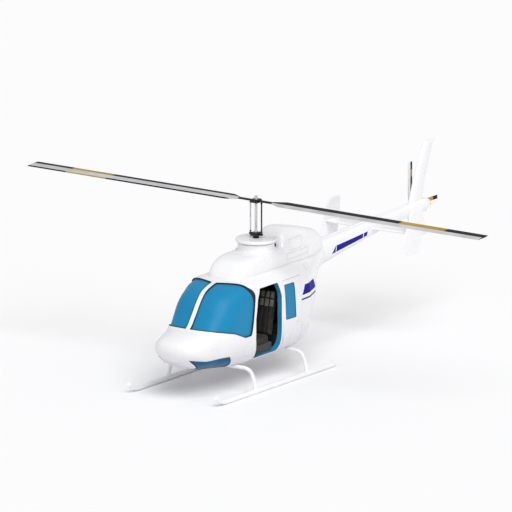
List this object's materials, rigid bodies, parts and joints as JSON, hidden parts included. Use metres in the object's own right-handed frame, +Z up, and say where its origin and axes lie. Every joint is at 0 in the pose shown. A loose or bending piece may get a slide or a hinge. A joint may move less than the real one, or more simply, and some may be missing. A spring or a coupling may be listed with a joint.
{
  "type": "light helicopter",
  "caption": "Light single-turbine helicopter on skids with a two-blade main rotor, a tail rotor, hinged cabin doors and one open doorway.",
  "frame": {"origin": "on the ground under the middle of the aircraft's box, with the rotor blades athwart", "axes": "+Z up, +Y towards the tail, +X towards the port side"},
  "size_m": [10.1654, 9.18, 3.31],
  "materials": {
    "white_paint": "gloss",
    "blue_window": "gloss",
    "black_paint": "satin",
    "dark_cloth": "matte",
    "grey_metal": "satin",
    "blade_paint": "satin"
  },
  "bodies": {
    "airframe": {"nose_shell": "white_paint", "belly_shell": "white_paint", "roof_shell": "white_paint", "aft_shell": "white_paint", "door_post_port": "white_paint", "door_post_starboard": "white_paint", "windshield_port": "blue_window", "windshield_starboard": "blue_window", "chin_window_port": "blue_window", "chin_window_starboard": "blue_window", "cabin_floor": "dark_cloth", "rear_bulkhead": "dark_cloth", "instrument_panel": "black_paint", "seat_port": "dark_cloth", "seat_starboard": "dark_cloth", "rear_bench": "dark_cloth", "cyclic_port": "black_paint", "cyclic_starboard": "black_paint", "roof_fairing": "white_paint", "engine_cowling": "white_paint", "engine_block": "grey_metal", "main_gearbox": "grey_metal", "mast_collar": "white_paint", "tail_boom": "white_paint", "stabiliser_port": "white_paint", "stabiliser_starboard": "white_paint", "endplate_port": "white_paint", "endplate_starboard": "white_paint", "tail_fin": "white_paint", "ventral_fin": "white_paint", "tail_gearbox": "white_paint", "skid_port": "white_paint", "skid_starboard": "white_paint", "cross_tube_front": "white_paint", "cross_tube_rear": "white_paint"},
    "starboard_front_door": {"front_door_starboard": "white_paint", "front_window_starboard": "blue_window"},
    "port_rear_door": {"rear_door_port": "white_paint", "rear_window_port": "blue_window"},
    "starboard_rear_door": {"rear_door_starboard": "white_paint", "rear_window_starboard": "blue_window"},
    "main_rotor": {"mast": "grey_metal", "rotor_hub": "black_paint", "drive_block": "black_paint", "pitch_rod_port": "grey_metal", "pitch_rod_starboard": "grey_metal", "main_blade_port": "blade_paint", "main_blade_starboard": "blade_paint"},
    "tail_rotor": {"tail_rotor_hub": "grey_metal", "tail_blades_upright": "blade_paint", "tail_blades_level": "blade_paint"}
  },
  "joints": [
    {"name": "main_rotor_spin", "type": "hinge", "parent": "airframe", "child": "main_rotor", "pos_m": [0, -1.79, 3.215], "axis": [0, 0, 1], "continuous": true},
    {"name": "tail_rotor_spin", "type": "hinge", "parent": "airframe", "child": "tail_rotor", "pos_m": [-0.28, 3.74, 1.99], "axis": [1, 0, 0], "continuous": true},
    {"name": "starboard_front_door_hinge", "type": "hinge", "parent": "airframe", "child": "starboard_front_door", "pos_m": [-0.715, -2.84, 0.52], "axis": [0, 0, 1], "range_deg": [0, 80]},
    {"name": "port_rear_door_hinge", "type": "hinge", "parent": "airframe", "child": "port_rear_door", "pos_m": [0.715, -1.941, 0.52], "axis": [0, 0, -1], "range_deg": [0, 80]},
    {"name": "starboard_rear_door_hinge", "type": "hinge", "parent": "airframe", "child": "starboard_rear_door", "pos_m": [-0.715, -1.941, 0.52], "axis": [0, 0, 1], "range_deg": [0, 80]}
  ]
}
